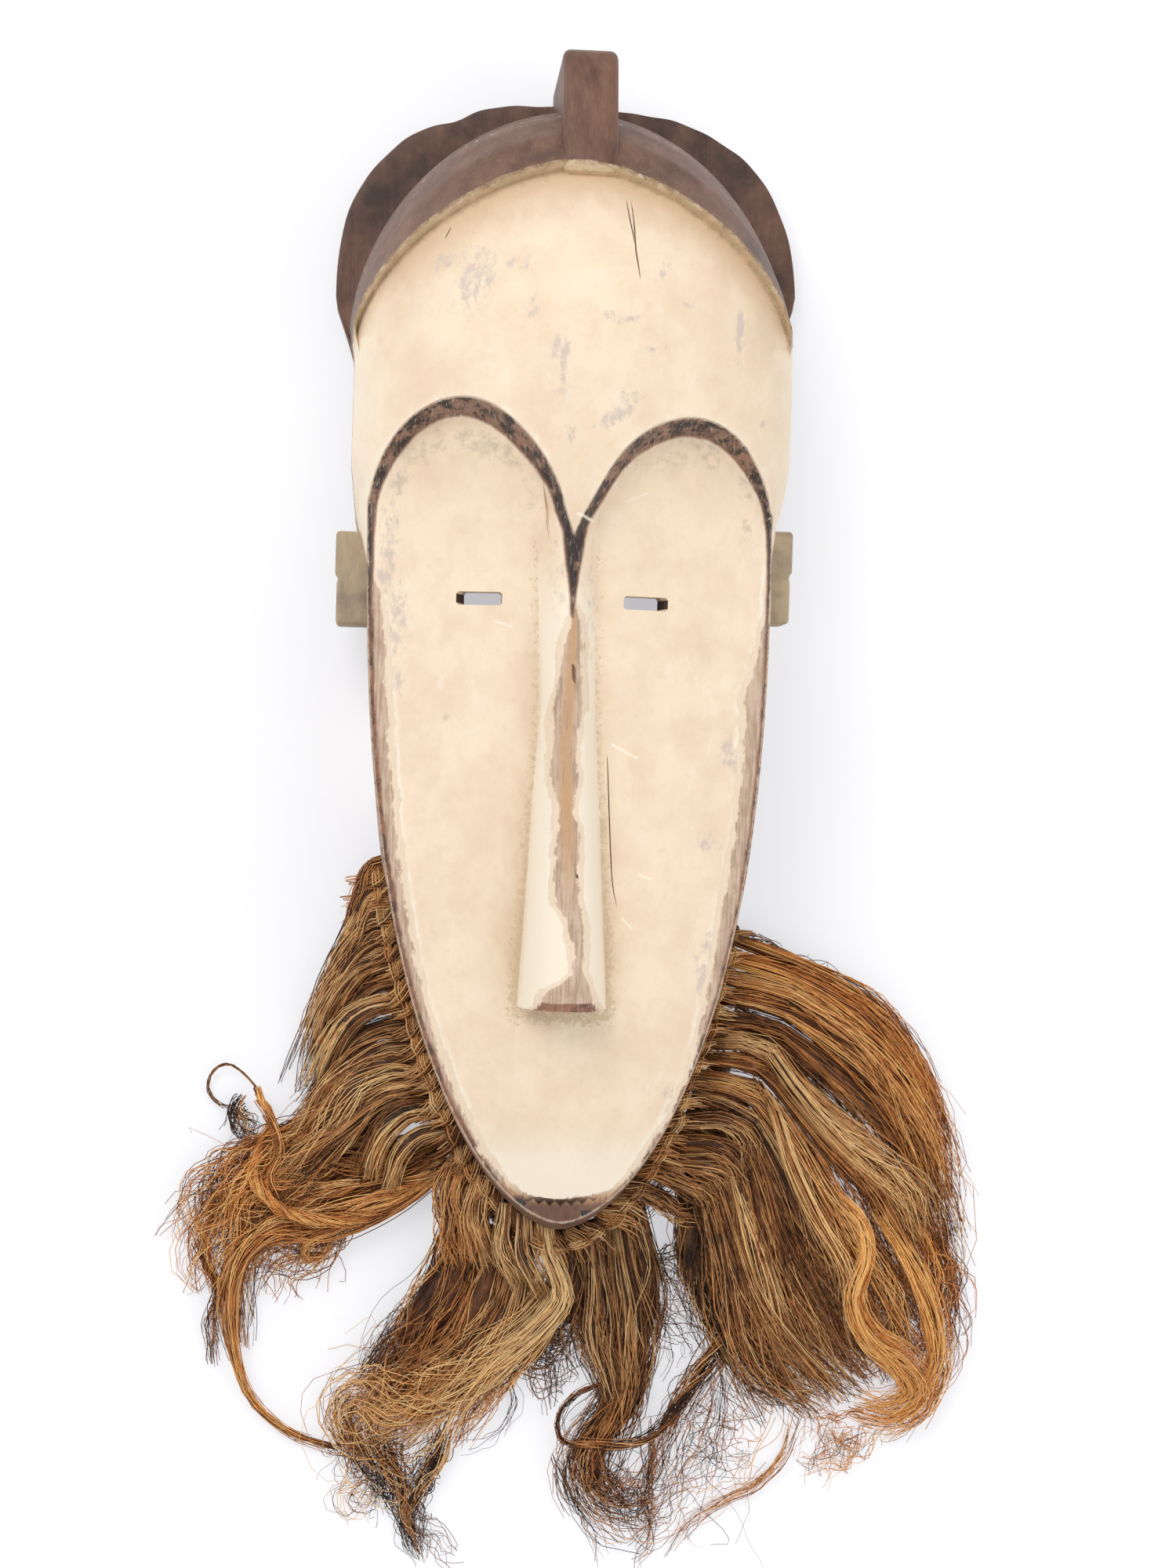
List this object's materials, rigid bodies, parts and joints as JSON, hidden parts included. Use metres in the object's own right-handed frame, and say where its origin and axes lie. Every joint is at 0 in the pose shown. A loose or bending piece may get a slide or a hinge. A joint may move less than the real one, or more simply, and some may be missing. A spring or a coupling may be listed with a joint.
{
  "type": "fang mask",
  "caption": "Long carved wooden face mask with a heart-shaped face, hair band, crest and hollow back, with a fringe of knotted raffia, lying face up.",
  "frame": {"origin": "centre of the bounding box in X and Y, on the surface that the back rim rests on", "axes": "+Y from the chin to the crown, +X to the viewer's right, +Z out of the face"},
  "size_m": [0.425, 0.8146, 0.1559],
  "materials": {
    "carved_wood": "worn white clay over brown wood, matte",
    "raffia": "dry plant fibre in browns and golds"
  },
  "bodies": {
    "root": {"carved_mask": "carved_wood", "beard_cord": "raffia", "raffia_left_upper": "raffia", "raffia_left_middle": "raffia", "raffia_left_tail": "raffia", "raffia_chin_left": "raffia", "raffia_chin_right": "raffia", "raffia_centre_left": "raffia", "raffia_centre_right": "raffia", "raffia_right_inner": "raffia", "raffia_right_lower": "raffia", "raffia_right_middle": "raffia", "raffia_right_upper": "raffia"}
  },
  "joints": []
}
